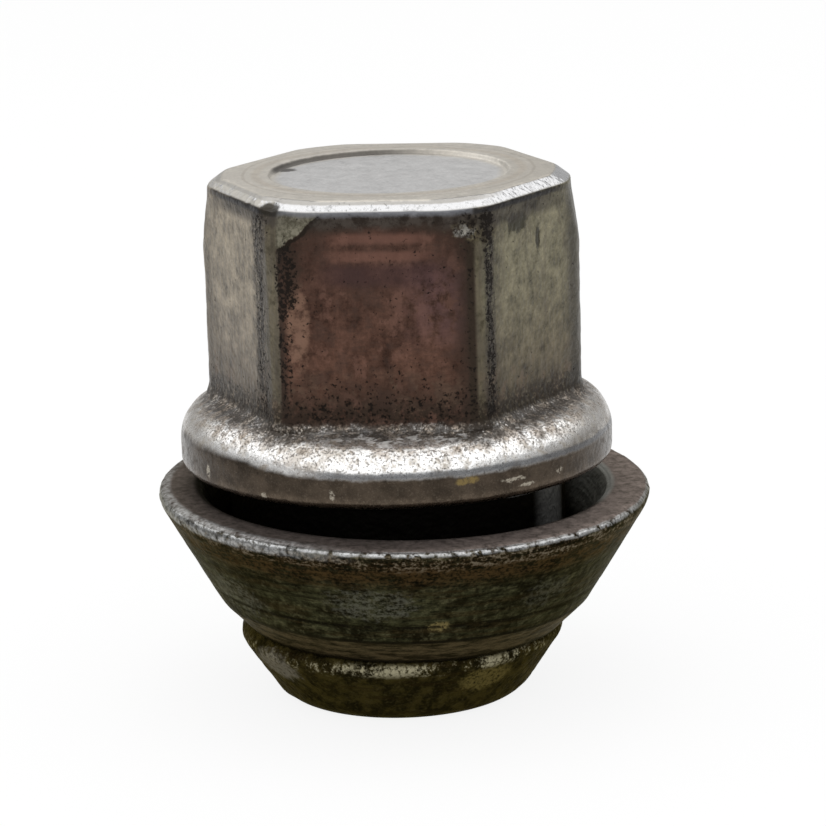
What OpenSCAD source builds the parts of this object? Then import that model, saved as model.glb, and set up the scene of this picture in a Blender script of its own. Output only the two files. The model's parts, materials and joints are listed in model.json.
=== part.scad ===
// Capped wheel nut with a loose conical seat washer, in millimetres.
// The nut stands on its nose. Z is the thread axis, and Z = 0 is the foot of the nose.
// The six flats of the hexagon face +Y, -Y and 30 degrees either side of +X and -X.

/* [Stud thread] */
// Nominal diameter of the stud that the nut screws onto
stud_d = 14; // [12:0.5:15]
// Pitch of the thread
thread_pitch = 1.5; // [1.25:0.25:2]
// How much wider than the stud the mouth of the hole is, all round
mouth_clear = 0.15; // [0.05:0.05:0.4]

/* [Nose] */
// Width of the flat ring that the nut stands on
foot_land = 0.55; // [0.4:0.05:1]
// Reach of the rounded-off foot edge, outwards
foot_edge_w = 0.75; // [0.4:0.05:1.2]
// Reach of the rounded-off foot edge, upwards
foot_edge_h = 0.55; // [0.3:0.05:0.9]
// Height of the nose's cone, from the foot to the shoulder
nose_h = 4; // [3:0.1:6]
// Height of the shoulder's upright band
shoulder_band = 0.45; // [0.3:0.05:0.8]
// How far the shoulder stands out past the waist, which holds the washer on
shoulder_step = 1.25; // [1.1:0.05:1.8]
// Steepness of the shoulder's upper side, in degrees from level
shoulder_slope = 50; // [35:1:55]

/* [Waist and neck] */
// Wall between the stud and the waist
waist_wall = 2.5; // [2:0.1:3.5]
// How far the neck stands out past the waist: the width of the inner seat
seat_step = 1.55; // [1:0.05:2]
// Flange core left standing below the crimped lip
collar_drop = 0.4; // [0.2:0.05:0.8]

/* [Flange] */
// Radius of the flange, over the cap
flange_r = 14.25; // [13.9:0.05:16]
// Height of the flange, from the lip to its upper side
flange_h = 4.3; // [4:0.05:6]
// Rounding of the flange's upper shoulder
flange_shoulder_r = 2.5; // [1.2:0.1:2.7]
// Rounding of the lip that is rolled under
lip_r = 0.95; // [0.7:0.05:1.2]
// How far the lip reaches in under the flange
lip_reach = 1.4; // [1.1:0.05:1.6]

/* [Hexagon] */
// Size across the flats, over the cap
hex_af = 22; // [21:0.5:23]
// Rounding of the six upright corners
hex_corner_r = 2.3; // [1.5:0.1:3]
// Height of the hexagon above the flange
hex_h = 14.75; // [10:0.25:20]
// Rounding of the top edge
top_edge_r = 0.9; // [0.7:0.05:1.3]
// Rounding of the top corners
top_corner_r = 1.2; // [1:0.1:2]
// Height over which the corners lean in below that rounding
corner_taper_h = 3.5; // [2:0.1:6]
// How far the corners lean in over that height
corner_taper_w = 0.5; // [0.2:0.05:0.7]
// Height of the flare where the hexagon runs out into the flange
flare_h = 0.75; // [0.4:0.05:1.2]
// Radius of the shallow dish pressed into the top
dish_r = 7.8; // [5:0.1:8.5]
// Depth of the dish
dish_depth = 0.3; // [0.15:0.05:0.5]
// Width of the dish's sloping wall
dish_wall_w = 0.5; // [0.2:0.1:1]

/* [Cap] */
// Thickness of the cap's sheet
cap_wall = 0.5; // [0.4:0.05:0.6]
// Gap left between the cap and the core
cap_fit = 0.05; // [0.03:0.01:0.1]

/* [Seat washer] */
// Full angle of the seat cone, inside and outside
seat_angle = 60; // [56:1:64]
// Height of the washer
washer_h = 9.2; // [8:0.1:12]
// Wall between the washer's bore and its outer cone, where the cone would meet the foot
washer_foot_wall = 1.35; // [1.2:0.05:2]
// Wall between the two cones, measured square to the axis
washer_wall = 3.1; // [2.4:0.1:3.4]
// Gap between the washer's bore and the waist, all round
washer_clear = 0.5; // [0.4:0.05:0.8]
// Rounding of the rim's outer edge
rim_edge_r = 0.65; // [0.4:0.05:0.9]
// Height of the bevel round the foot's outer edge
foot_bevel_h = 1.9; // [1:0.1:2.5]
// Width of the flat ring left between the two bevels of the foot
washer_land = 0.1; // [0.05:0.05:0.4]
// Bevel at the rim's inner edge
rim_bevel = 0.2; // [0.1:0.05:0.4]
// Width of the bevel that rests on the nose's shoulder
rest_bevel = 0.5; // [0.3:0.05:0.6]
// Free travel of the washer along the nut
washer_float = 1.6; // [0.8:0.1:2.5]
// How far the loose washer has slid off centre where it rests
washer_slip = 0.25; // [0.05:0.05:0.3]
// Which way it has slid, in degrees from +X towards +Y
slip_heading = -30; // [-180:5:180]
// Gap between the resting washer and the shoulder
rest_gap = 0.15; // [0.1:0.05:0.3]

/* [Hidden] */
$fn = 96;
// Depth by which a cut runs past a face
over = 0.5;
// How far the corner roundings stand off the flats, so that they cross them cleanly
corner_blend = 0.01;

// Thread: the wall of the hole is at the crests, five eighths of the way into a 60 degree V
v_height = thread_pitch * cos(30);
thread_r = stud_d / 2 - v_height * 5 / 8;
mouth_r = stud_d / 2 + mouth_clear;
mouth_h = mouth_r - thread_r;

// Nose, waist and neck radii, from the inside out
foot_r = mouth_r + foot_land;
waist_r = stud_d / 2 + waist_wall;
shoulder_r = waist_r + shoulder_step;
neck_r = waist_r + seat_step;

// Washer radii: the two cones are given by where they would meet the washer's foot
cone_rate = tan(seat_angle / 2);
bore_r = waist_r + washer_clear;
outer_cone_r = bore_r + washer_foot_wall;
inner_cone_r = outer_cone_r - washer_wall;
rest_edge_r = bore_r + rest_bevel;
bore_top = (bore_r - inner_cone_r) / cone_rate;

// Heights, from the foot of the nose up
shoulder_rate = tan(shoulder_slope);
shoulder_z = nose_h + shoulder_band;
waist_z = shoulder_z + shoulder_step * shoulder_rate;
washer_z = shoulder_z + (shoulder_r - rest_edge_r) * shoulder_rate + rest_gap / cos(shoulder_slope);
seat_low_z = washer_z + washer_float + (waist_r - inner_cone_r) / cone_rate;
seat_high_z = seat_low_z + seat_step / cone_rate;
// The inner seat stops the washer this far short of the lip
lip_gap = 0.1;
lip_z = washer_z + washer_h + washer_float + lip_gap;
flange_z = lip_z + flange_h;
cap_top = flange_z + hex_h;
// Level inside the flange from which the hexagons are drawn
hex_low = lip_z + flange_h / 2;

// Core sizes, inside the cap
core_step = cap_wall + cap_fit;
core_top = cap_top - dish_depth - core_step;
lip_inner_r = flange_r - lip_reach;
collar_r = lip_inner_r - 2 * cap_fit;
collar_z = lip_z - collar_drop;

// A loose washer that slides on the sloping shoulder drops on that side and rises on the other
washer_lean = asin(washer_slip * shoulder_rate / rest_edge_r);
rest_level = washer_z + rest_bevel * shoulder_rate / 2;

// Distance of a rounded corner's centre from the axis
function corner_reach(af, corner_r) = (af / 2 - corner_r) / cos(30);

// Point of the washer's outer cone, at a height above its foot
function on_cone(z) = [outer_cone_r + z * cone_rate, z];

// Hexagon with rounded corners, two of them on the X axis
module rounded_hexagon(af, corner_r) {
    reach = corner_reach(af, corner_r);
    circle(r = reach, $fn = 6);
    for (turn = [30, 90, 150])
        rotate(turn)
            square([af, reach], center = true);
    for (turn = [0:60:300])
        rotate(turn)
            translate([reach, 0])
                circle(r = corner_r);
}

// Three bars of one section, laid across the three pairs of flats: what they share is a hexagon
module across_flats(length) {
    intersection_for(turn = [30, 90, 150])
        rotate([90, 0, turn])
            linear_extrude(length, center = true)
                children();
}

// Section across two flats, with the top edges rounded
module rounded_bar(width, low, top, edge_r) {
    half = width / 2;
    translate([-half, low])
        square([width, top - edge_r - low]);
    translate([edge_r - half, top - edge_r])
        square([width - 2 * edge_r, edge_r]);
    for (side = [-1, 1])
        translate([side * (half - edge_r), top - edge_r])
            circle(r = edge_r);
}

// Hexagonal block with rounded corners and a rounded top
module hexagon_dome(inset, low) {
    af = hex_af - 2 * inset;
    corner_r = hex_corner_r - inset;
    top = cap_top - inset;
    reach = corner_reach(af, corner_r) + corner_r + corner_blend;
    intersection() {
        across_flats(2 * reach + over)
            rounded_bar(af, low, top, top_edge_r - inset);
        translate([0, 0, low - over])
            linear_extrude(top - low + 2 * over)
                rounded_hexagon(af + 2 * corner_blend, corner_r);
        rotate_extrude()
            corner_section(reach, low - over, top, top_corner_r - inset);
    }
}

// Half section that trims the six corners: upright, then leaning in, then rounded over
module corner_section(reach, low, top, edge_r) {
    lean_top_r = reach - corner_taper_w;
    polygon([
        [0, low],
        [reach, low],
        [reach, top - edge_r - corner_taper_h],
        [lean_top_r, top - edge_r],
        [lean_top_r - edge_r, top],
        [0, top]
    ]);
    translate([lean_top_r - edge_r, top - edge_r])
        circle(r = edge_r);
}

// Half section of the flange: a disc with a round shoulder above and a round lip below
module flange_section(r, low, high, shoulder, lip) {
    square_low = low + lip;
    translate([0, low])
        square([r - lip, lip]);
    translate([0, square_low])
        square([r, high - shoulder - square_low]);
    translate([0, high - shoulder])
        square([r - shoulder, shoulder]);
    translate([r - shoulder, high - shoulder])
        circle(r = shoulder);
    translate([r - lip, square_low])
        circle(r = lip);
}

// The flange as a solid, stepped in by the given depth from the cap's outside
module flange(inset) {
    rotate_extrude()
        intersection() {
            flange_section(flange_r - inset, lip_z + inset, flange_z - inset,
                flange_shoulder_r - inset, lip_r - inset);
            translate([0, lip_z])
                square([flange_r, flange_h]);
        }
}

// Forged and tapped core: nose, waist, inner seat, neck, flange and hexagon in one piece
module nut_core() {
    color([0.22, 0.21, 0.17])
        difference() {
            union() {
                rotate_extrude()
                    polygon([
                        [0, 0],
                        [foot_r, 0],
                        [foot_r + foot_edge_w, foot_edge_h],
                        [shoulder_r, nose_h],
                        [shoulder_r, shoulder_z],
                        [waist_r, waist_z],
                        [waist_r, seat_low_z],
                        [neck_r, seat_high_z],
                        [neck_r, collar_z],
                        [collar_r, collar_z],
                        [collar_r, hex_low],
                        [0, hex_low]
                    ]);
                flange(core_step);
                core_hexagon();
            }
            translate([0, 0, -over])
                cylinder(r = thread_r, h = core_top + 2 * over);
            translate([0, 0, -over])
                cylinder(r1 = mouth_r + over, r2 = thread_r, h = mouth_h + over);
        }
}

// Hexagon of the core: the cap's own form, one sheet and one gap further in, cut off under the dish
module core_hexagon() {
    intersection() {
        hexagon_dome(core_step, hex_low);
        translate([0, 0, hex_low - over])
            cylinder(r = hex_af, h = core_top - hex_low + over);
    }
}

// Flare that carries the cap's hexagon out onto the flange, sloping at 45 degrees
module flare() {
    corner = corner_reach(hex_af, hex_corner_r) + hex_corner_r;
    low = flange_z - over;
    high = flange_z + flare_h + over;
    spread = flare_h + over;
    intersection() {
        across_flats(4 * corner)
            polygon([
                [-hex_af / 2 - spread, low],
                [hex_af / 2 + spread, low],
                [hex_af / 2 - over, high],
                [over - hex_af / 2, high]
            ]);
        translate([0, 0, low])
            cylinder(r1 = corner + spread, r2 = corner - over, h = high - low);
    }
}

// Drawn sheet cap: pressed over the core's hexagon and rolled in under its flange
module cap() {
    color([0.62, 0.6, 0.55])
        difference() {
            union() {
                hexagon_dome(0, hex_low);
                flare();
                flange(0);
            }
            difference() {
                hexagon_dome(cap_wall, hex_low);
                dish(cap_wall);
            }
            flange(cap_wall);
            translate([0, 0, lip_z - over])
                cylinder(r = lip_inner_r, h = cap_wall + 2 * over);
            dish(0);
        }
}

// Tool that presses the dish: its sloping wall follows the sheet from the outside to the inside
module dish(depth_in_sheet) {
    floor_r = dish_r - dish_wall_w + depth_in_sheet;
    translate([0, 0, cap_top - dish_depth - depth_in_sheet])
        cylinder(r1 = floor_r, r2 = floor_r + dish_wall_w * (1 + over / dish_depth), h = dish_depth + over);
}

// Turned seat washer, held on by the nose's shoulder and free to turn and to rattle
module seat_washer() {
    // Centre of the rim's rounding, which touches the cone and the level top
    rim_middle = on_cone(washer_h - rim_edge_r) - [rim_edge_r / cos(seat_angle / 2), 0];
    // The rounding leaves the cone in this direction from its centre
    along = [cos(seat_angle / 2), -sin(seat_angle / 2)];
    mouth_edge_r = inner_cone_r + washer_h * cone_rate;
    color([0.27, 0.27, 0.23])
        translate([washer_slip * cos(slip_heading), washer_slip * sin(slip_heading), rest_level])
            rotate(a = washer_lean, v = [-sin(slip_heading), cos(slip_heading), 0])
                translate([0, 0, washer_z - rest_level])
                    rotate_extrude() {
                        polygon([
                            [bore_r, rest_bevel * shoulder_rate],
                            [rest_edge_r, 0],
                            [rest_edge_r + washer_land, 0],
                            on_cone(foot_bevel_h),
                            rim_middle + rim_edge_r * along,
                            [rim_middle[0], washer_h],
                            [mouth_edge_r + rim_bevel, washer_h],
                            [mouth_edge_r - rim_bevel * cone_rate, washer_h - rim_bevel],
                            [bore_r, bore_top]
                        ]);
                        translate(rim_middle)
                            circle(r = rim_edge_r);
                    }
}

nut_core();
cap();
seat_washer();
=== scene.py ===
import json
import math

import bmesh
import bpy
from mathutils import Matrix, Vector


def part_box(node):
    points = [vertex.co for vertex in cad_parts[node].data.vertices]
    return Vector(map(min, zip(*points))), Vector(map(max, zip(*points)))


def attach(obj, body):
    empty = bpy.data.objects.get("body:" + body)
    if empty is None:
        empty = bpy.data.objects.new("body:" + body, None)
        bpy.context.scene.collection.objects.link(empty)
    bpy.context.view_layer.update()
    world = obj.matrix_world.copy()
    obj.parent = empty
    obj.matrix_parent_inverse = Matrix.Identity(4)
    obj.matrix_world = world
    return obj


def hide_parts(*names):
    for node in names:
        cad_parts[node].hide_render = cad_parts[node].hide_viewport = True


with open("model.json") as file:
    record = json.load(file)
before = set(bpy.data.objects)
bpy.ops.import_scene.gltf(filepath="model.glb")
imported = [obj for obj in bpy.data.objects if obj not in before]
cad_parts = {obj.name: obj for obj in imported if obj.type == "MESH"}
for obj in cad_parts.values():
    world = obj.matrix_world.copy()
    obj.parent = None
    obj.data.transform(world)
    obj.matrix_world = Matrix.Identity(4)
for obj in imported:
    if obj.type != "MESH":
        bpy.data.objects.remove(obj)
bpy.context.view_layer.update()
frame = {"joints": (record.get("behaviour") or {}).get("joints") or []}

# Nut core: one steel forging, turned to a nose, a waist and a neck, with a hexagon that the cap hides.
# Its stud thread is tapped from below. It is dark and rusty, and rubbed bright where the nose meets the
# washer.
MM = 0.001
same_place = MM * 0.001
near_place = MM * 0.01
longest_edge = 0.4
core_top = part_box("nut_core")[1].z / MM
thread_pitch = 1.5
thread_root_r = 7.0
thread_crest_r = 6.188
thread_top = 29.0
thread_steps = 48
mouth_r = 7.15
foot_r = 7.7
foot_edge_r = 8.45
foot_edge_z = 0.55
shoulder_r = 10.75
shoulder_low = 4.0
shoulder_high = 4.45
waist_r = 9.5
waist_low = 5.94
waist_high = 8.746
neck_r = 11.05
neck_low = 11.431
collar_r = 12.75
collar_z = 15.481
core_lip_z = 16.44
core_flange_r = 13.7
core_shoulder_r = 1.95
core_flange_z = 19.63
core_hex_flats = 20.9
core_hex_root = 18.0
core_corner_round = 1.02
core_top_round = 0.4
core_steps = 180
nose_top = 5.2


def add_piece(name, add, **settings):
    """Adds a primitive with nothing else selected and gives it its name."""
    bpy.ops.object.select_all(action="DESELECT")
    add(**settings)
    piece = bpy.context.object
    piece.name = name
    piece.data.name = name
    return piece


def select_where(piece, test, kind="verts"):
    """In edit mode, selects just the vertices, edges or faces that pass a test."""
    bpy.ops.mesh.select_all(action="DESELECT")
    modes = {"verts": "VERT", "edges": "EDGE", "faces": "FACE"}
    bpy.ops.mesh.select_mode(type=modes[kind])
    mesh = bmesh.from_edit_mesh(piece.data)
    for element in getattr(mesh, kind):
        element.select_set(test(element))
    mesh.select_flush_mode()
    bmesh.update_edit_mesh(piece.data)


def draw_section(name, corners):
    """Draws a half section, (radius, height) in millimetres, by extruding one vertex along it.
    A third number rounds that corner over so many millimetres of each side."""
    piece = add_piece(name, bpy.ops.mesh.primitive_plane_add, size=MM)
    bpy.ops.object.mode_set(mode="EDIT")
    bpy.ops.mesh.select_mode(type="VERT")
    bpy.ops.mesh.select_all(action="SELECT")
    bpy.ops.mesh.merge(type="CENTER")
    bpy.ops.transform.translate(value=(corners[0][0] * MM, 0, corners[0][1] * MM))
    for here, there in zip(corners, corners[1:]):
        step = ((there[0] - here[0]) * MM, 0, (there[1] - here[1]) * MM)
        bpy.ops.mesh.extrude_vertices_move(TRANSFORM_OT_translate={"value": step})
    bpy.ops.mesh.select_all(action="SELECT")
    bpy.ops.mesh.remove_doubles(threshold=same_place)
    for corner in corners:
        if len(corner) == 3:
            place = Vector((corner[0] * MM, 0, corner[1] * MM))
            select_where(piece, lambda v: (v.co - place).length < near_place)
            bpy.ops.mesh.bevel(offset=corner[2] * MM, segments=6, affect="VERTICES")
    return piece


def divide_long(piece, longest):
    """In edit mode, splits every edge that is longer than the given millimetres."""
    most_parts = 60
    for parts in range(most_parts, 1, -1):
        low = longest * MM * (parts - 1)
        select_where(piece, lambda e: low < e.calc_length() <= low + longest * MM, "edges")
        if any(e.select for e in bmesh.from_edit_mesh(piece.data).edges):
            bpy.ops.mesh.subdivide(number_cuts=parts - 1)


def turn_section(piece, steps):
    """Spins a drawn section round the Z axis into a closed solid."""
    bpy.ops.mesh.select_all(action="SELECT")
    bpy.ops.mesh.spin(steps=steps, angle=2 * math.pi, center=(0, 0, 0), axis=(0, 0, 1))
    bpy.ops.mesh.select_all(action="SELECT")
    bpy.ops.mesh.remove_doubles(threshold=same_place)
    bpy.ops.mesh.normals_make_consistent(inside=False)
    bpy.ops.object.mode_set(mode="OBJECT")


def apply_modifier(piece, kind, **settings):
    """Adds a modifier, sets it and applies it."""
    bpy.ops.object.select_all(action="DESELECT")
    piece.select_set(True)
    bpy.context.view_layer.objects.active = piece
    modifier = piece.modifiers.new(kind.title(), kind)
    for name, value in settings.items():
        setattr(modifier, name, value)
    bpy.ops.object.modifier_apply(modifier=modifier.name)


def batter(piece, where, depth, grain):
    """Pushes the surface in and out by cloudy noise, weighted by where(place in mm)."""
    group = piece.vertex_groups.new(name="battered")
    for vertex in piece.data.vertices:
        weight = where(vertex.co / MM)
        if weight > 0.01:
            group.add([vertex.index], weight, "REPLACE")
    clouds = bpy.data.textures.new(piece.name + "_dents", "CLOUDS")
    clouds.noise_scale = grain * MM
    clouds.noise_depth = 2
    apply_modifier(piece, "DISPLACE", texture=clouds, texture_coords="LOCAL", vertex_group="battered",
                   strength=depth * MM, mid_level=0.5)
    piece.vertex_groups.clear()


def fade(past, over):
    """0 before a border and 1 after it, over so many millimetres."""
    return min(1, max(0, past / over))


core = draw_section("forged_core", [
    (0, 0), (foot_r, 0, 0.25), (foot_edge_r, foot_edge_z, 0.3), (shoulder_r, shoulder_low, 0.18),
    (shoulder_r, shoulder_high, 0.18), (waist_r, waist_low, 0.4), (waist_r, waist_high, 0.4),
    (neck_r, neck_low, 0.3), (neck_r, collar_z, 0.2), (collar_r, collar_z, 0.12), (collar_r, core_lip_z),
    (core_flange_r, core_lip_z, 0.3), (core_flange_r, core_flange_z, core_shoulder_r), (0, core_flange_z),
])
divide_long(core, longest_edge)
turn_section(core, core_steps)
batter(core, lambda p: fade(nose_top - p.z, 0.6) * fade(p.z - 0.1, 0.3), depth=0.16, grain=1.1)

hexagon = add_piece("core_hexagon", bpy.ops.mesh.primitive_cylinder_add, vertices=6,
                    radius=core_hex_flats / 2 / math.cos(math.pi / 6) * MM,
                    depth=(core_top - core_hex_root) * MM,
                    location=(0, 0, (core_top + core_hex_root) / 2 * MM), rotation=(0, 0, math.pi / 6))
bpy.ops.object.transform_apply(location=True, rotation=True, scale=True)
bpy.ops.object.mode_set(mode="EDIT")
select_where(hexagon, lambda e: abs(e.verts[0].co.z - e.verts[1].co.z) > MM, "edges")
bpy.ops.mesh.bevel(offset=core_corner_round * MM, segments=6, affect="EDGES")
select_where(hexagon, lambda f: f.normal.z > 0.9, "faces")
bpy.ops.mesh.bevel(offset=core_top_round * MM, segments=3, affect="EDGES")
bpy.ops.object.mode_set(mode="OBJECT")
apply_modifier(core, "BOOLEAN", object=hexagon, operation="UNION", solver="EXACT")
bpy.data.objects.remove(hexagon)

# The hole is drilled through, countersunk at its mouth and tapped
drill_past = 1.0
drill_steps = 96
drill = draw_section("drill", [
    (0, -drill_past), (mouth_r + drill_past, -drill_past), (thread_crest_r, mouth_r - thread_crest_r),
    (thread_crest_r, core_top + drill_past), (0, core_top + drill_past),
])
turn_section(drill, drill_steps)
apply_modifier(core, "BOOLEAN", object=drill, operation="DIFFERENCE", solver="EXACT")
bpy.data.objects.remove(drill)

tap_past = 2.0
tap_start = -tap_past
tap_middle = 10.0
tap_end = thread_top + tap_past
tap_overlap = 0.1
flank = (thread_root_r - thread_crest_r + tap_overlap) * math.tan(math.pi / 6)
root_flat = thread_pitch / 8
turns = round(tap_end / thread_pitch)
tap = draw_section("tap", [
    (thread_crest_r - tap_overlap, tap_start), (thread_root_r, tap_start + flank),
    (thread_root_r, tap_start + flank + root_flat),
    (thread_crest_r - tap_overlap, tap_start + 2 * flank + root_flat),
    (thread_crest_r - tap_overlap, tap_start + thread_pitch),
])
bpy.ops.object.mode_set(mode="OBJECT")
apply_modifier(tap, "SCREW", axis="Z", angle=2 * math.pi, screw_offset=thread_pitch * MM, iterations=turns,
               steps=thread_steps, render_steps=thread_steps, use_merge_vertices=True,
               merge_threshold=same_place, use_smooth_shade=False)
bpy.ops.object.mode_set(mode="EDIT")
bpy.ops.mesh.select_all(action="SELECT")
bpy.ops.mesh.remove_doubles(threshold=near_place)
# Each end of the tap is drawn in to a point, which closes it
tap_ends = ((tap_start - 1, tap_middle, tap_start - 1), (tap_middle, tap_end + tap_middle, tap_end))
for low, high, end in tap_ends:
    select_where(tap, lambda e: e.is_boundary and low * MM < e.verts[0].co.z < high * MM, "edges")
    bpy.ops.mesh.extrude_edges_move(TRANSFORM_OT_translate={"value": (0, 0, 0)})
    bpy.ops.transform.resize(value=(0, 0, 0), center_override=(0, 0, end * MM))
bpy.ops.mesh.select_all(action="SELECT")
bpy.ops.mesh.remove_doubles(threshold=near_place)
bpy.ops.mesh.normals_make_consistent(inside=False)
bpy.ops.object.mode_set(mode="OBJECT")
apply_modifier(core, "BOOLEAN", object=tap, operation="DIFFERENCE", solver="EXACT")
bpy.data.objects.remove(tap)

# The cuts leave doubled points along the thread, and those are merged
bpy.ops.object.mode_set(mode="EDIT")
bpy.ops.mesh.select_all(action="SELECT")
bpy.ops.mesh.remove_doubles(threshold=same_place)
bpy.ops.object.mode_set(mode="OBJECT")


class Shade:
    """One socket in a material. Arithmetic on it adds Math nodes, and make adds any other node."""

    def __init__(self, socket):
        self.socket = socket

    def make(self, kind, settings, inputs, output=0):
        tree = self.socket.id_data
        node = tree.nodes.new(kind)
        for name, value in settings.items():
            setattr(node, name, value)
        for key, value in inputs.items():
            socket = node.inputs[key]
            if isinstance(value, Shade):
                tree.links.new(value.socket, socket)
            elif socket.type == "RGBA":
                socket.default_value = (*value, 1)
            else:
                socket.default_value = value
        return Shade(node.outputs[output])

    def calculate(self, operation, *terms):
        return self.make("ShaderNodeMath", {"operation": operation}, dict(enumerate(terms)))

    def __add__(self, other):
        return self.calculate("ADD", self, other)

    def __radd__(self, other):
        return self.calculate("ADD", other, self)

    def __sub__(self, other):
        return self.calculate("SUBTRACT", self, other)

    def __rsub__(self, other):
        return self.calculate("SUBTRACT", other, self)

    def __mul__(self, other):
        return self.calculate("MULTIPLY", self, other)

    def __rmul__(self, other):
        return self.calculate("MULTIPLY", other, self)

    def __abs__(self):
        return self.calculate("ABSOLUTE", self)

    def most(self, other):
        return self.calculate("MAXIMUM", self, other)

    def rise(self, low, high):
        """0 below low and 1 above high, smooth between; with low above high it falls instead."""
        return self.make("ShaderNodeMapRange", {"interpolation_type": "SMOOTHSTEP"},
                         {"Value": self, "From Min": low, "From Max": high})

    def hump(self, centre, reach):
        """1 at the centre, 0 from the reach outwards."""
        return abs(self - centre).rise(reach, reach * 0.25)

    def coat(self, under, over):
        """Lays one colour over another where this mask is 1."""
        return self.make("ShaderNodeMix", {"data_type": "RGBA"}, {0: self, 6: under, 7: over}, 2)

    def stretch(self, factors):
        return self.make("ShaderNodeVectorMath", {"operation": "MULTIPLY"}, {0: self, 1: factors})

    def toned(self, factor):
        """A colour made darker or lighter by a factor."""
        return self.make("ShaderNodeVectorMath", {"operation": "SCALE"}, {0: self, "Scale": factor})

    def dot(self, way):
        return self.make("ShaderNodeVectorMath", {"operation": "DOT_PRODUCT"}, {0: self, 1: way}, 1)

    def length(self):
        return self.make("ShaderNodeVectorMath", {"operation": "LENGTH"}, {0: self}, 1)

    def noise(self, scale, detail=3, rough=0.6):
        """Cloudy noise from 0 to 1, with the scale in clouds per millimetre."""
        return self.make("ShaderNodeTexNoise", {}, {"Vector": self, "Scale": scale, "Detail": detail,
                                                    "Roughness": rough})

    def spot(self, centre, reach, ragged=0.0):
        """A mask round one place, with a ragged edge if asked for."""
        away = self.make("ShaderNodeVectorMath", {"operation": "SUBTRACT"}, {0: self, 1: centre})
        share = away.stretch([1 / side for side in reach]).length()
        if ragged:
            share = share + ragged * (self.noise(2.2) - 0.5)
        return share.rise(1, 0.55)


def begin_material(name):
    """A new material: its shader node, and the place on the piece in millimetres."""
    material = bpy.data.materials.new(name)
    material.use_nodes = True
    shader = material.node_tree.nodes["Principled BSDF"]
    where = material.node_tree.nodes.new("ShaderNodeTexCoord").outputs["Object"]
    place = Shade(where).stretch((1 / MM, 1 / MM, 1 / MM))
    return material, shader, place


def finish_material(shader, colour, roughness, metallic, height, depth):
    """Wires the worked-out looks into the shader, with the bump's depth in millimetres."""
    tree = shader.id_data
    normal = height.make("ShaderNodeBump", {}, {"Height": height, "Distance": depth * MM, "Strength": 1.0})
    for name, shade in (("Base Color", colour), ("Roughness", roughness), ("Metallic", metallic),
                        ("Normal", normal)):
        tree.links.new(shade.socket, shader.inputs[name])


def dress(piece, material, body, node):
    """Gives a finished piece its material and its place in the frame."""
    piece.data.materials.clear()
    piece.data.materials.append(material)
    bpy.ops.object.select_all(action="DESELECT")
    piece.select_set(True)
    bpy.context.view_layer.objects.active = piece
    bpy.ops.object.shade_smooth_by_angle(angle=math.radians(35))
    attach(piece, body)
    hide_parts(node)


old_steel, shader, place = begin_material("old_dark_steel")
height = place.dot((0, 0, 1))
radius = place.stretch((1, 1, 0)).length()
grime = place.noise(0.9, 5, 0.7)
fine = place.noise(4.5, 4, 0.65)
ringed = place.stretch((0.2, 0.2, 2.2)).noise(1.0, 5, 0.65)
colour = grime.rise(0.4, 0.62).coat((0.008, 0.0065, 0.002), (0.040, 0.031, 0.009))
colour = (ringed.rise(0.5, 0.66) * 0.7).coat(colour, (0.015, 0.009, 0.003))
colour = (fine.rise(0.5, 0.72) * 0.6).coat(colour, (0.055, 0.045, 0.018))
left_grey = place.spot((-7.4, -6.6, 3.5), (2.6, 2.6, 1.3), 0.9)
colour = (left_grey * fine.rise(0.30, 0.52) * 0.9).coat(colour, (0.160, 0.145, 0.115))
olive = place.spot((6.0, -7.9, 2.9), (2.4, 2.2, 1.2), 0.9)
colour = (olive * fine.rise(0.33, 0.56) * 0.85).coat(colour, (0.130, 0.102, 0.034))
rubbed_level = (height + 0.5 * (grime - 0.5)).hump(4.2, 0.6)
rubbed_front = place.spot((-0.5, -10.7, 4.2), (3.6, 3, 2), 0.8)
rubbed_front = rubbed_front.most(place.spot((7.0, -8.2, 4.3), (2.0, 2, 2), 0.8))
rubbed = rubbed_level * (0.5 * grime + 0.5 * fine + 0.10 * rubbed_front).rise(0.52, 0.64)
rubbed_colour = (0.5 * grime + 0.5 * fine).rise(0.44, 0.58)
rubbed_colour = rubbed_colour.coat((0.095, 0.085, 0.053), (0.31, 0.285, 0.19))
colour = (rubbed * 0.9).coat(colour, rubbed_colour)
# The neck, which shows in the gap above the washer, is painted near-black as painted shade, with a painted
# lit patch at its right end
neck = height.rise(9.0, 11.2)
neck_painted_light = place.dot((0.94, -0.34, 0)).rise(10.75, 11.05)
colour = neck.coat(colour, neck_painted_light.coat((0.004, 0.0035, 0.003), (0.17, 0.17, 0.165)))
bore = radius.rise(7.35, 7.15) * height.rise(0.25, 0.5)
colour = bore.coat(colour, (0.16, 0.15, 0.135))
shader.inputs["Specular IOR Level"].default_value = 0.2
shader.inputs["Specular Tint"].default_value = (0.60, 0.56, 0.42, 1)
roughness = 0.6 - 0.2 * rubbed + 0.2 * (fine - 0.5)
metallic = 0.92 + 0.03 * rubbed.most(bore)
bump = 0.6 * place.noise(1.3, 1.5, 0.5) + 0.3 * place.noise(3.2, 1, 0.5)
finish_material(shader, colour, roughness, metallic, bump, depth=0.24)
dress(core, old_steel, "nut", "nut_core")

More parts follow.
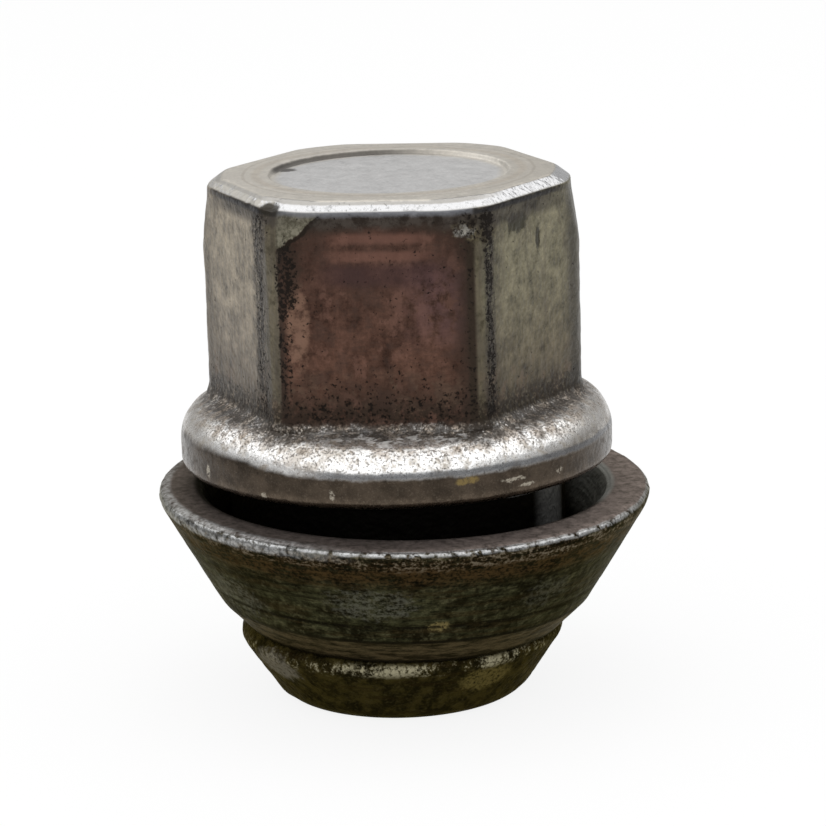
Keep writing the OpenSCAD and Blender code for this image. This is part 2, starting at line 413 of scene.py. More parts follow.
# Seat washer: a conical ring turned from steel bar, held loosely on the waist by the nose's shoulder.
# Brown with heat and rust on top, dark and ringed by the tool on its cone, rubbed to bare metal along
# its rim.
washer_joint = frame["joints"][0]
washer_axis = Vector(washer_joint["axis"])
washer_pivot = Vector(washer_joint["pos_m"])
washer_drop = 0.2979
washer_h = 9.2
washer_bore_r = 10.0
cone_rate = math.tan(math.pi / 6)
outer_cone_r = 11.35
inner_cone_r = 8.25
rest_bevel = 0.5
rest_bevel_h = 0.596
washer_land_r = 10.6
foot_bevel_h = 1.9
groove_z = 3.2
groove_w = 0.2
groove_deep = 0.08
rim_round = 1.12
rim_bevel = 0.2
rim_bevel_in = 0.12
washer_steps = 288


def on_cone(z, inwards=0.0):
    """The radius and height of a point on the washer's outer cone, or so far inside it."""
    return (outer_cone_r + z * cone_rate - inwards, z)


washer = draw_section("seat_ring", [
    (washer_bore_r, rest_bevel_h), (washer_bore_r + rest_bevel, 0), (washer_land_r, 0, 0.05),
    (*on_cone(foot_bevel_h), 0.25), on_cone(groove_z - groove_w), on_cone(groove_z, groove_deep),
    on_cone(groove_z + groove_w), (*on_cone(washer_h), rim_round),
    (inner_cone_r + washer_h * cone_rate + rim_bevel, washer_h),
    (inner_cone_r + washer_h * cone_rate - rim_bevel_in, washer_h - rim_bevel),
    (washer_bore_r, (washer_bore_r - inner_cone_r) / cone_rate, 0.3),
    (washer_bore_r, rest_bevel_h),
])
divide_long(washer, longest_edge)
turn_section(washer, washer_steps)
batter(washer, lambda p: fade(p.z - 8.2, 0.6) * fade(p.xy.length - 15, 0.8), depth=0.10, grain=1.0)
batter(washer, lambda p: fade(p.xy.length - on_cone(p.z, 0.6)[0], 0.3), depth=0.08, grain=1.7)
lean = Vector((0, 0, 1)).rotation_difference(washer_axis)
washer.rotation_euler = lean.to_euler()
washer.location = washer_pivot - lean @ Vector((0, 0, washer_drop * MM))
bpy.ops.object.select_all(action="DESELECT")
washer.select_set(True)
bpy.context.view_layer.objects.active = washer
washer_place = washer.location.copy()
bpy.ops.object.transform_apply(location=True, rotation=True, scale=True)

burnt_steel, shader, place = begin_material("burnt_turned_steel")
own = place.make("ShaderNodeMapping", {"vector_type": "TEXTURE"},
                 {"Vector": place, "Location": washer_place / MM, "Rotation": lean.to_euler()})
height = own.dot((0, 0, 1))
radius = own.stretch((1, 1, 0)).length()
cloud = own.noise(0.55, 5, 0.65)
mottle = own.noise(1.7, 5, 0.7)
fine = own.noise(4.5, 4, 0.65)
rings = own.stretch((0.13, 0.13, 2.4)).noise(1.0, 6, 0.68)
strokes = own.stretch((0.6, 0.6, 3.2)).noise(1.0, 5, 0.7)
colour = cloud.rise(0.38, 0.62).coat((0.008, 0.007, 0.003), (0.034, 0.034, 0.016))
colour = (mottle.rise(0.5, 0.64) * 0.55).coat(colour, (0.058, 0.055, 0.029))
colour = (rings.rise(0.5, 0.6) * 0.55).coat(colour, (0.024, 0.016, 0.006))
colour = (rings.rise(0.44, 0.36) * 0.7).coat(colour, (0.005, 0.004, 0.002))
# The cone is painted darker towards its left and right sides, as painted shade
shaded_sides = own.dot((0.9, -0.44, 0)).rise(9, 16)
shaded_sides = shaded_sides.most(own.dot((-0.9, -0.44, 0)).rise(10, 17) * 0.7)
uneven = 2.2 * (mottle - 0.5) + 3.8 * (strokes - 0.5) + 2.4 * (fine - 0.5)
colour = colour.toned((1 - 0.5 * shaded_sides + uneven).most(0.2))

# A brown rust band runs under the rim, with pale flecks along its upper edge
rust_level = height + 0.9 * (mottle - 0.5)
rust = rust_level.hump(7.6, 1.6) * strokes.rise(0.32, 0.48)
rust_colour = (0.5 * strokes + 0.5 * fine).rise(0.42, 0.58)
rust_colour = rust_colour.coat((0.003, 0.002, 0.001), (0.050, 0.029, 0.011))
colour = (rust * 0.9).coat(colour, rust_colour)
flecks = rust_level.hump(8.35, 0.75) * (0.5 * fine + 0.5 * strokes).rise(0.5, 0.6)
colour = (flecks * 0.75).coat(colour, (0.18, 0.155, 0.115))

# The bevel at the foot is brown and black along both edges; the cone is scuffed grey in places
lower = (height + 0.2 * (mottle - 0.5)).rise(2.05, 1.75)
lower_colour = strokes.rise(0.38, 0.6).coat((0.014, 0.010, 0.005), (0.085, 0.062, 0.032))
colour = (lower * 0.85).coat(colour, lower_colour)
grey_places = (((-9.6, -8.6, 4.0), (3.4, 3.2, 1.9), 1.0), ((-0.9, -14.2, 5.0), (3.6, 2.0, 1.6), 1.0),
               ((9.5, -9.5, 5.0), (2.4, 2.4, 1.5), 0.5))
for centre, reach, share in grey_places:
    grey = own.spot(centre, reach, 1.3) * (0.6 * fine + 0.4 * strokes).rise(0.42, 0.6)
    colour = (grey * share * 0.65).coat(colour, (0.110, 0.110, 0.084))
tan_spot = own.spot((3.3, -12.8, 3.3), (0.85, 0.85, 0.5), 1.6)
colour = (tan_spot * fine.rise(0.32, 0.5)).coat(colour, (0.17, 0.135, 0.055))
wavy = height + 0.25 * (cloud - 0.5)
dark_line = wavy.hump(groove_z, 0.2) * mottle.rise(0.4, 0.5)
dark_line = dark_line.most(wavy.hump(1.95, 0.2)).most(wavy.hump(0.1, 0.3))
colour = (dark_line * 0.85).coat(colour, (0.004, 0.003, 0.002))

# The flat top is brown, the inside painted dark as painted shade with a painted lit patch on its right, and
# the rim's corner rubbed bright in chips
top = height.rise(8.95, 9.12)
top_colour = own.dot((1, 0, 0)).rise(-6, 14).coat((0.098, 0.081, 0.073), (0.165, 0.136, 0.123))
top_colour = top_colour.toned((1 + 2.4 * (mottle - 0.5) + 1.6 * (fine - 0.5)).most(0.3))
colour = top.coat(colour, top_colour)
# The inside is painted near-black as painted shade, and lit grey on its right as painted light
inside = (radius - height * cone_rate).rise(inner_cone_r + 0.5, inner_cone_r + 0.1)
inside_painted_light = own.dot((0.97, 0.22, 0)).rise(11.2, 12.5)
colour = inside.coat(colour, inside_painted_light.coat((0.014, 0.012, 0.009), (0.32, 0.32, 0.30)))
corner = radius + 0.7 * (height - washer_h)
left_side = own.dot((-0.86, -0.5, 0)).rise(9, 15)
chipped = 0.6 * own.noise(1.7, 2.5, 0.55) + 0.4 * own.noise(3.2, 2, 0.5)
edge_line = corner.rise(15.87, 15.99) * height.rise(8.65, 8.82) * chipped.rise(0.39, 0.52)
left_patch = corner.rise(15.35, 15.7) * height.rise(8.0, 8.5) * left_side * chipped.rise(0.3, 0.62)
worn = edge_line.most(left_patch * 0.75)
worn_colour = fine.rise(0.36, 0.6).coat((0.26, 0.26, 0.255), (0.45, 0.455, 0.46))
colour = worn.coat(colour, worn_colour)
shader.inputs["Specular IOR Level"].default_value = 0.2
shader.inputs["Specular Tint"].default_value = (0.60, 0.58, 0.48, 1)
roughness = 0.54 - 0.26 * worn + 0.25 * (fine - 0.5) + 0.1 * top
metallic = 0.92 + 0.03 * worn
tool_rings = own.stretch((0.1, 0.1, 1.7)).noise(1.0, 2, 0.5)
bump = 0.6 * own.noise(1.2, 1.5, 0.5) + 0.2 * own.noise(3.4, 1, 0.5) + 0.6 * tool_rings
finish_material(shader, colour, roughness, metallic, (1 - 0.75 * top) * bump, depth=0.15)
dress(washer, burnt_steel, "washer", "seat_washer")

# Cap: thin steel sheet drawn over the core's hexagon, with a shallow dish in its top, and rolled in
# under the flange. Its plating is scuffed, pitted along the corners and stained brown in places, and its
# walls and flange carry painted light, shade and reflections; its edges are rubbed white.
cap_low, cap_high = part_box("cap")
cap_top = cap_high.z / MM
lip_z = cap_low.z / MM
flange_r = cap_high.x / MM
half_flats = 11.0
corner_r = 2.3
corner_out = 12.346
corner_lean = 0.5
hex_foot = 21.05
wall_rings = 30
sheet = 0.5
lip_inner_r = 12.85
lip_r = 0.65
shoulder_round = 2.5
flange_h = 4.3


def dent(piece, centre, reach, deep):
    """Presses one shallow hollow into the surface, at a place in millimetres."""
    group = piece.vertex_groups.new(name="pressed")
    for vertex in piece.data.vertices:
        away = (vertex.co / MM - centre).length / reach
        if away < 1:
            group.add([vertex.index], (1 - away * away) ** 2, "REPLACE")
    apply_modifier(piece, "DISPLACE", vertex_group="pressed", strength=-deep * MM, mid_level=0)
    piece.vertex_groups.clear()


cap = add_piece("drawn_cap", bpy.ops.mesh.primitive_circle_add, vertices=6,
                radius=half_flats / math.cos(math.pi / 6) * MM, location=(0, 0, hex_foot * MM),
                rotation=(0, 0, math.pi / 6))
bpy.ops.object.transform_apply(location=True, rotation=True, scale=True)
bpy.ops.object.mode_set(mode="EDIT")
bpy.ops.mesh.select_all(action="SELECT")
bpy.ops.mesh.bevel(offset=corner_r * math.tan(math.pi / 6) * MM, segments=8, affect="VERTICES")
select_where(cap, lambda e: e.calc_length() > 3 * MM, "edges")
bpy.ops.mesh.subdivide(number_cuts=11)


def next_ring(rise, flats, corners=flange_r, roundness=0.0):
    """Extrudes the selected ring by a rise, then sets how far its flats and at most its corners stand
    out. Roundness turns it from the hexagon towards a circle."""
    bpy.ops.mesh.extrude_edges_move(TRANSFORM_OT_translate={"value": (0, 0, rise * MM)})
    if roundness:
        bpy.ops.transform.tosphere(value=roundness)
    mesh = bmesh.from_edit_mesh(cap.data)
    ring = [v for v in mesh.verts if v.select]
    share = flats * MM / min(v.co.xy.length for v in ring)
    bpy.ops.transform.resize(value=(share, share, 1), center_override=(0, 0, 0))
    for vertex in ring:
        reach = vertex.co.xy.length
        if reach > corners * MM:
            vertex.co.xy *= corners * MM / reach
    bmesh.update_edit_mesh(cap.data)


# Upwards: the hexagon's walls, with corners that lean in near the top, then the bevel and the dish
lean_foot = 30.2
lean_top = 33.7
bevel_h = 0.85
wall_top = cap_top - bevel_h
ring_rise = (wall_top - hex_foot) / wall_rings
select_where(cap, lambda v: True)
level = hex_foot
for ring in range(wall_rings):
    level += ring_rise
    leaning = fade(level - lean_foot, lean_top - lean_foot)
    next_ring(ring_rise, half_flats, corner_out - corner_lean * leaning)
level = wall_top
bevel_steps = ((0.01, 0.14), (0.05, 0.24), (0.12, 0.31), (0.19, 0.36), (0.42, 0.56), (0.66, 0.76),
               (0.73, 0.805), (0.84, 0.835), (1.0, bevel_h))
corner_share = 1.2
for step_in, up in bevel_steps:
    next_ring(wall_top + up - level, half_flats - step_in, corner_out - corner_lean - corner_share * step_in)
    level = wall_top + up
for flats, roundness in ((9.75, 0.15), (9.3, 0.5), (8.75, 1.0), (8.25, 1.0), (7.95, 1.0)):
    next_ring(0, flats, roundness=roundness)
dish_wall = ((-0.02, 7.85), (-0.07, 7.80), (-0.1, 7.74), (-0.07, 7.68), (-0.03, 7.6), (-0.01, 7.45))
for rise, flats in dish_wall:
    next_ring(rise, flats)
for flats in (7.1, 6.3, 5.2, 4.0, 2.6, 1.2):
    next_ring(0, flats)
bpy.ops.mesh.edge_face_add()

# Downwards: the flare onto the flange, its round shoulder, the side and the lip rolled under
select_where(cap, lambda v: abs(v.co.z - hex_foot * MM) < same_place)
flare = ((-0.25, 11.04, 12.37, 0), (-0.22, 11.14, 12.42, 0.03), (-0.18, 11.32, 12.5, 0.08),
         (-0.13, 11.58, 12.62, 0.2), (-0.09, 11.9, 12.78, 0.4), (-0.07, 12.25, 12.98, 0.65))
level = hex_foot
for rise, flats, corners, roundness in flare:
    next_ring(rise, flats, corners, roundness)
    level += rise
shoulder_z = lip_z + flange_h - shoulder_round
for turn in range(35, 100, 8):
    angle = math.radians(min(turn, 90))
    flats = flange_r - shoulder_round + shoulder_round * math.sin(angle)
    target = shoulder_z + shoulder_round * math.cos(angle)
    next_ring(target - level, flats, roundness=1.0)
    level = target
for target in (shoulder_z - 0.3, lip_z + lip_r + 0.25):
    next_ring(target - level, flange_r)
    level = target
for turn in range(0, 91, 15):
    angle = math.radians(turn)
    target = lip_z + lip_r - lip_r * math.sin(angle)
    next_ring(target - level, flange_r - lip_r + lip_r * math.cos(angle))
    level = target
next_ring(0, (flange_r - lip_r + lip_inner_r) / 2)
next_ring(0, lip_inner_r)
bpy.ops.mesh.select_all(action="SELECT")
bpy.ops.mesh.normals_make_consistent(inside=False)
bpy.ops.object.mode_set(mode="OBJECT")
apply_modifier(cap, "SUBSURF", levels=1, render_levels=1)

# Use has dented the flange, its side, the corners and the walls, and knocked notches into the bevel
batter(cap, lambda p: fade(20.7 - p.z, 0.5) * fade(p.z - 17.4, 0.6), depth=0.09, grain=2.2)
batter(cap, lambda p: fade(17.8 - p.z, 0.6), depth=0.10, grain=2.6)
batter(cap, lambda p: fade(p.xy.length - 11.6, 1) * fade(p.z - 20, 1), depth=0.14, grain=1.0)
batter(cap, lambda p: fade(p.z - 20, 1) * fade(34.5 - p.z, 0.3), depth=0.06, grain=3.0)
notch_place = (-6.6, -9.4, 34.3)
knocks = ((notch_place, 1.0, 0.3), ((2.35, -10.8, 34.3), 0.6, 0.14), ((-8.3, -7.7, 34.3), 0.5, 0.12),
          ((5.4, -10.3, 33.2), 0.8, 0.1))
for centre, reach, deep in knocks:
    dent(cap, Vector(centre), reach, deep)
apply_modifier(cap, "SOLIDIFY", thickness=sheet * MM, offset=-1, use_even_offset=False)

worn_sheet, shader, place = begin_material("worn_plated_sheet")
across = place.dot((1, 0, 0))
depth_y = place.dot((0, 1, 0))
height = place.dot((0, 0, 1))
radius = place.stretch((1, 1, 0)).length()
cloud = place.noise(0.5, 5, 0.65)
patchy = place.noise(1.2, 5, 0.7)
fine = place.noise(4.5, 4, 0.65)
grit = place.noise(9.0, 3, 0.6)
streaks = place.stretch((1.5, 1.5, 0.22)).noise(1.0, 5, 0.65)
side = height.rise(20.4, 21.2) * height.rise(34.3, 33.9)
# Each wall is tinted for the light that falls on it, as painted light: the left walls paler, the right walls
# darker and olive, and the front a red-brown painted reflection; the tint changes towards the foot
face_tints_painted_light = {
    30: ((0.160, 0.148, 0.105), (0.105, 0.088, 0.064)),
    90: ((0.195, 0.175, 0.132), (0.125, 0.105, 0.078)),
    150: ((0.235, 0.210, 0.165), (0.140, 0.117, 0.090)),
    210: ((0.270, 0.233, 0.178), (0.175, 0.148, 0.115)),
    270: ((0.064, 0.034, 0.025), (0.090, 0.046, 0.032)),
    330: ((0.185, 0.168, 0.112), (0.120, 0.100, 0.067)),
}
colour = None
from_corner = None
hex_out = None
for heading, (high_tint, low_tint) in face_tints_painted_light.items():
    turn = math.radians(heading)
    outwards = place.dot((math.cos(turn), math.sin(turn), 0))
    along = place.dot((-math.sin(turn), math.cos(turn), 0))
    inwards = math.tan(math.pi / 6) * outwards - abs(along)
    from_corner = inwards if from_corner is None else from_corner.most(inwards)
    hex_out = outwards if hex_out is None else hex_out.most(outwards)
    face = height.rise(22, 31).coat(low_tint, high_tint)
    colour = face if colour is None else inwards.rise(-0.04, 0.06).coat(colour, face)
tone = 1 + 1.8 * (cloud - 0.5) + 2.2 * (patchy - 0.5) + 0.9 * (fine - 0.5) + 1.2 * (streaks - 0.5)
colour = colour.toned(tone.most(0.3))

# The walls beside the front one are streaked, with a dull strip at each corner and a dark line next to it
front = depth_y.rise(-9.6, -10.4) * (6.35 - abs(across)).rise(0.0, 0.25)
others = side * (1 - front)
left_wall = place.dot((-0.866, -0.5, 0)).rise(10.0, 10.4) * place.dot((0.5, -0.866, 0)).rise(-1, 1)
ridge_edge = from_corner + (0.8 + 0.9 * left_wall) * (patchy - 0.5) - 0.7 * left_wall
scratched = streaks.rise(0.54, 0.68).most(ridge_edge.hump(1.9, 1.1) * streaks.rise(0.45, 0.6)) * others
colour = (scratched * 0.45).coat(colour, (0.085, 0.072, 0.053))
strip = ridge_edge.rise(0.85, 0.6) * others
strip_colour = patchy.rise(0.35, 0.62).coat((0.064, 0.055, 0.035), (0.165, 0.141, 0.091))
colour = (strip * 0.85).coat(colour, strip_colour)
corner_dirt = (0.4 + 0.6 * depth_y.rise(-5, -8)) * ridge_edge.rise(3.2, 1.3)
corner_dirt = corner_dirt * (0.6 * streaks + 0.4 * patchy).rise(0.4, 0.56) * others
colour = (corner_dirt * 0.6).coat(colour, (0.075, 0.064, 0.052))
gully = (ridge_edge - 0.1 * left_wall).hump(1.5, 0.85 + 0.5 * left_wall) * others
gully = gully * (0.4 * streaks + 0.6 * fine).rise(0.39, 0.51) * (0.3 + 0.7 * depth_y.rise(-5, -8))
colour = (gully * 0.9).coat(colour, (0.034, 0.028, 0.023))
smudge = place.stretch((1, 1, 0.55)).noise(0.62, 5, 0.7).rise(0.53, 0.66) * others
colour = (smudge * 0.45).coat(colour, (0.070, 0.058, 0.043))
foot = height.rise(24.6, 20.8) * (0.5 * patchy + 0.5 * fine + 0.1).rise(0.5, 0.66)
colour = (foot * 0.6).coat(colour, (0.050, 0.038, 0.028))
rusty = height.rise(25.0, 22.0) * place.noise(0.8, 4, 0.65).rise(0.5, 0.62) * side
colour = (rusty * 0.4).coat(colour, (0.175, 0.122, 0.085))
low_grime = (height + 2.2 * (patchy - 0.5)).rise(22.7, 21.3) * fine.rise(0.34, 0.5)
colour = (low_grime * 0.8).coat(colour, (0.020, 0.015, 0.011))

# The front face is painted red-brown as a painted reflection, mottled, with paler bands of painted
# reflection above, grime along its sides and painted shade along its top under the bevel
weave = place.stretch((0.8, 1, 4.0)).noise(1.6, 4, 0.6)
colour = (front * weave.rise(0.5, 0.64) * 0.4).coat(colour, (0.055, 0.033, 0.025))
blotch = place.stretch((1, 1, 0.8)).noise(0.85, 4, 0.65)
colour = (front * blotch.rise(0.52, 0.64) * 0.45).coat(colour, (0.055, 0.034, 0.027))
colour = (front * blotch.rise(0.47, 0.36) * 0.4).coat(colour, (0.165, 0.088, 0.066))
band_fade = abs(across - 0.3 + 1.2 * (patchy - 0.5)).rise(3.9, 1.6)
band_level = height + 0.3 * (patchy - 0.5)
# The paler red bands are painted reflection
red_band_reflection = band_level.hump(32.6, 0.5).most(band_level.hump(31.5, 0.5))
colour = (front * red_band_reflection * band_fade * 0.65).coat(colour, (0.150, 0.076, 0.057))
salmon = place.spot((-5.0, -11, 27.0), (0.9, 1.2, 3.6), 0.9)
colour = (front * salmon * patchy.rise(0.3, 0.55) * 0.7).coat(colour, (0.205, 0.122, 0.085))
purple = (height + 0.5 * (patchy - 0.5)).hump(30.3, 1.1) * abs(across - 0.5 + (patchy - 0.5)).rise(4.6, 2.6)
colour = (front * purple * 0.65).coat(colour, (0.052, 0.029, 0.028))
plum = front * across.rise(0.5, 4.5) * height.hump(28.5, 3.8)
colour = (plum * patchy.rise(0.36, 0.6) * 0.5).coat(colour, (0.115, 0.064, 0.066))
grime_right = (across + 0.9 * (patchy - 0.5)).rise(4.7, 6.0)
# Darker along the top, under the bevel, is painted shade; darker along the sides is grime
shade_top = (height + 0.6 * (patchy - 0.5) + 0.12 * abs(across)).rise(32.95, 33.7)
left_grime = place.spot((-5.7, -10.9, 30.5), (1.3, 2, 2.7), 0.8) * 0.8
grime_left = (0.3 * patchy - across).rise(5.7, 6.2).most(left_grime)
front_grime_and_shade = front * grime_right.most(shade_top).most(grime_left)
colour = (front_grime_and_shade * 0.8).coat(colour, (0.036, 0.026, 0.020))
# The painted reflection fades darker towards the face's sides, top and foot
reflection_falloff = abs(across - 0.2).rise(2.8, 5.8) * height.rise(28.0, 33.0)
reflection_falloff = reflection_falloff.most(height.rise(25.0, 21.6) * 0.7).most(across.rise(3.2, 6.2) * 0.6)
colour = (front * reflection_falloff * patchy.rise(0.28, 0.54) * 0.8).coat(colour, (0.030, 0.020, 0.015))
edge_dirt = front * (across + 0.1 * (patchy - 0.5)).rise(5.65, 5.85)
colour = (edge_dirt * 0.6).coat(colour, (0.030, 0.023, 0.016))

# Its upper left corner shows a slanted facet painted lighter grey as a painted reflection, with a painted
# shadow along its edge; its upper right corner is scuffed through to grey, and so is the wall next to it
slant = -4.1 - across - 1.25 * (33.5 - height) + 1.2 * (patchy - 0.5)
facet_reflection = front * slant.rise(-0.05, 0.1) * height.rise(31.4, 31.8)
facet_reflection_colour = (0.5 * patchy + 0.5 * fine).rise(0.42, 0.58)
facet_reflection_colour = facet_reflection_colour.coat((0.105, 0.097, 0.068), (0.225, 0.210, 0.158))
colour = (facet_reflection * 0.9).coat(colour, facet_reflection_colour)
facet_edge_shade = front * slant.hump(-0.22, 0.3) * height.rise(30.8, 31.3)
colour = (facet_edge_shade * 0.85).coat(colour, (0.014, 0.011, 0.008))
scuffed = place.spot((6.5, -10.1, 33.0), (2.2, 1.8, 1.3), 1.4)
colour = (scuffed * 0.75).coat(colour, (0.038, 0.030, 0.022))
colour = (scuffed * (0.5 * fine + 0.5 * patchy).rise(0.48, 0.6) * 0.6).coat(colour, (0.150, 0.128, 0.075))
chalk = place.spot((5.75, -10.7, 32.9), (0.9, 0.8, 0.5), 2.0)
chalk = chalk * (0.5 * fine + 0.5 * patchy).rise(0.42, 0.58)
colour = (chalk * 0.5).coat(colour, (0.36, 0.355, 0.335))
stain = place.spot((8.7, -6.9, 32.75), (1.5, 1.5, 0.75), 1.2)
stain = stain.most(place.spot((9.9, -4.9, 31.3), (0.35, 0.35, 1.0), 1.2))
colour = (stain * 0.9).coat(colour, (0.034, 0.031, 0.021))
dim_edge = depth_y.rise(-9, -3) * across.rise(9, 11) * ridge_edge.rise(3.2, 1.2) * side
colour = (dim_edge * 0.6).coat(colour, (0.055, 0.052, 0.045))

# A painted shadow makes a dark line under the bevel, all along the walls that show; on the front a
# grey-blue painted reflection runs just under the bevel, and on the other walls a darker painted shadow
under_bevel = height + 0.4 * (patchy - 0.5)
shadow_line = (under_bevel + (cloud - 0.5) + 0.4 * across.rise(5, 8)).rise(33.0, 33.7)
shadow_line = shadow_line * depth_y.rise(-1, -5) * (1 - 0.6 * facet_reflection)
shadow_colour = patchy.rise(0.38, 0.6).coat((0.020, 0.016, 0.013), (0.058, 0.050, 0.043))
colour = (shadow_line * 0.8).coat(colour, shadow_colour)
colour = (under_bevel.rise(33.88, 34.18) * front * 0.75).coat(colour, (0.150, 0.154, 0.168))
rim_shadow = under_bevel.hump(34.12, 0.26) * depth_y.rise(0, -4) * (1 - front)
colour = (rim_shadow * 0.8).coat(colour, (0.020, 0.020, 0.023))

# Pits gather along the corners and at the foot of the walls
left_border = place.spot((-5.65, -10.9, 29.9), (1.0, 1.6, 3.3), 0.6) * 0.17
left_border = left_border.most(place.spot((-5.85, -10.9, 26.0), (0.7, 1.6, 5.0), 0.6) * 0.11)
right_line = from_corner.hump(1.4, 0.65) * across.rise(6.0, 6.6) * depth_y.rise(-6, -8) * 0.105
crowd = gully * (0.08 + 0.05 * left_wall) + left_border.most(right_line) + foot * 0.07
crowd = crowd + front * (0.02 + 0.035 * height.rise(26.0, 22.0)) + scuffed * 0.08
crowd = crowd + under_bevel.hump(33.7, 0.5) * others * 0.03 + edge_dirt * 0.05
pits = (place.noise(3.4, 5, 0.7) + crowd).rise(0.65, 0.70) * side
colour = (pits * 0.92).coat(colour, (0.010, 0.007, 0.005))

# The bevel round the top is rubbed white, apart from its upper edge, the left side and the notch
outside = hex_out.rise(10.25, 10.38).most(radius.rise(10.75, 10.95))
bevel_mask = height.rise(34.28, 34.42) * outside
bare = bevel_mask * (patchy + 0.3 * across.rise(-7.5, -5.0) - 0.1).rise(0.38, 0.5)
colour = bevel_mask.coat(colour, (0.44, 0.42, 0.38))
bare_colour = (0.5 * patchy + 0.5 * fine).rise(0.36, 0.52).coat((0.34, 0.34, 0.34), (0.54, 0.54, 0.545))
colour = bare.coat(colour, bare_colour)
upper_edge = bevel_mask * (height + 0.15 * (patchy - 0.5)).rise(34.64, 34.74) * across.rise(8.5, 6.0)
colour = (upper_edge * 0.85).coat(colour, (0.32, 0.305, 0.28))
bevel_flecks = bevel_mask * across.hump(-1.0, 6.5) * place.noise(2.6, 4, 0.7).rise(0.58, 0.64)
colour = (bevel_flecks * 0.6).coat(colour, (0.16, 0.155, 0.15))
notch = place.spot((-6.6, -9.4, 34.25), (1.1, 1.1, 0.5), 0.6)
colour = (notch * 0.95).coat(colour, (0.030, 0.026, 0.020))

# The flange is rubbed white over its shoulder, speckled and satin at both ends; painted shade darkens its
# upper part, the walls' foot and the corners' foot
creased = place.noise(1.3, 6, 0.72)
flange = (height + 0.7 * (patchy - 0.5)).rise(20.85, 20.4)
shine = (creased - 0.06 * height.rise(19.7, 20.4) + 0.02).rise(0.36, 0.54)
bright = shine.coat((0.43, 0.395, 0.35), (0.77, 0.765, 0.755))
satin = abs(across + 0.8 * (cloud - 0.5)).rise(9.6, 13.4)
bright = (satin * 0.6).coat(bright, (0.44, 0.41, 0.365))
brown_end = abs(across).rise(8.5, 12.5) * (height + 1.6 * (patchy - 0.5)).rise(19.0, 18.0)
bright = (brown_end * 0.8).coat(bright, (0.15, 0.125, 0.095))
# Brown painted shade over the flange's upper part
upper_flange_shade = (height + 2.4 * (place.noise(0.6, 4, 0.6) - 0.5)).rise(19.1, 19.9)
bright = (upper_flange_shade * patchy.rise(0.36, 0.54) * 0.7).coat(bright, (0.27, 0.215, 0.165))
tarnish = place.spot((-4.2, -12.9, 19.2), (3.6, 2.2, 1.5), 1.0) * patchy.rise(0.34, 0.56)
bright = (tarnish * 0.65).coat(bright, (0.30, 0.255, 0.205))
specks = (place.noise(6.5, 4, 0.7) + 0.06 * height.rise(18.6, 20.2)).rise(0.555, 0.62)
bright = (specks * 0.75).coat(bright, (0.085, 0.070, 0.057))
coarse = 0.5 * creased + 0.5 * fine
# Dark painted shade where the flange meets the walls
wall_foot_shade = (height + 1.3 * (creased - 0.5)).rise(19.7, 20.2) * coarse.rise(0.40, 0.52)
bright = (wall_foot_shade * 0.85).coat(bright, (0.030, 0.024, 0.019))
# Dark painted shade at the foot of each front corner
for corner_x in (-6.6, 6.6):
    corner_foot_shade = place.spot((corner_x, -11.3, 20.2), (3.0, 1.7, 0.9), 1.2) * coarse.rise(0.36, 0.5)
    bright = (corner_foot_shade * 0.75).coat(bright, (0.038, 0.030, 0.023))
rubbed_lines = place.stretch((0.45, 0.45, 2.4)).noise(1.6, 4, 0.65).rise(0.51, 0.58)
rubbed_lines = rubbed_lines * height.hump(19.85, 0.65) * across.hump(1.0, 6.5)
bright = (rubbed_lines * 0.85).coat(bright, (0.74, 0.73, 0.71))
colour = flange.coat(colour, bright)
from_scuff = place.make("ShaderNodeVectorMath", {"operation": "SUBTRACT"}, {0: place, 1: (9.4, -9.1, 19.8)})
ring_scuff = abs(from_scuff.length() - 0.85).rise(0.3, 0.1) * flange * patchy.rise(0.4, 0.55)
colour = (ring_scuff * 0.7).coat(colour, (0.06, 0.05, 0.04))

# The side of the flange is brown, nicked along its edges
skirt_level = height + 0.5 * (cloud - 0.5)
skirt = (skirt_level - 0.45 * across.rise(-5, -10)).rise(18.3, 17.75)
# The lower part of the skirt is painted lighter, as painted light where it turns under
skirt_low_light = height.rise(16.9, 16.3)
skirt_colour = (0.5 * cloud + 0.5 * patchy).rise(0.36, 0.62)
skirt_colour = skirt_colour.coat((0.033, 0.025, 0.018), (0.067, 0.051, 0.037))
skirt_colour = (grit.rise(0.52, 0.7) * 0.3).coat(skirt_colour, (0.17, 0.14, 0.105))
skirt_colour = (fine.rise(0.54, 0.7) * 0.35).coat(skirt_colour, (0.030, 0.023, 0.017))
colour = skirt.coat(colour, skirt_colour.toned(1 + 0.6 * skirt_low_light))
# A grey-blue painted highlight runs along the skirt's upper edge
skirt_edge_highlight = skirt_level.hump(18.15, 0.3) * (across + 2.0 * (cloud - 0.5)).rise(-5.5, -2.5)
colour = (skirt_edge_highlight * 0.75).coat(colour, (0.085, 0.090, 0.100))
yellow = place.spot((5.6, -13.1, 17.55), (1.0, 1, 0.3), 1.2)
colour = (yellow * patchy.rise(0.35, 0.5) * 0.8).coat(colour, (0.20, 0.145, 0.055))
nicks = ((-143.3, 17.1, 0.28, 0.55), (-101.5, 16.9, 0.2, 0.4), (-121.1, 16.4, 0.3, 0.2),
         (-53.5, 17.2, 0.9, 0.16), (-49.6, 16.7, 0.7, 0.14), (-38.1, 17.1, 0.3, 0.25),
         (20, 16.8, 0.6, 0.2), (75, 17.0, 0.3, 0.5), (130, 16.6, 0.6, 0.2))
for heading, level, wide, tall in nicks:
    turn = math.radians(heading)
    nick_place = (flange_r * math.cos(turn), flange_r * math.sin(turn), level)
    nick = place.spot(nick_place, (wide, wide, tall), 2.4)
    colour = (nick * fine.rise(0.38, 0.54) * 0.8).coat(colour, (0.36, 0.325, 0.265))

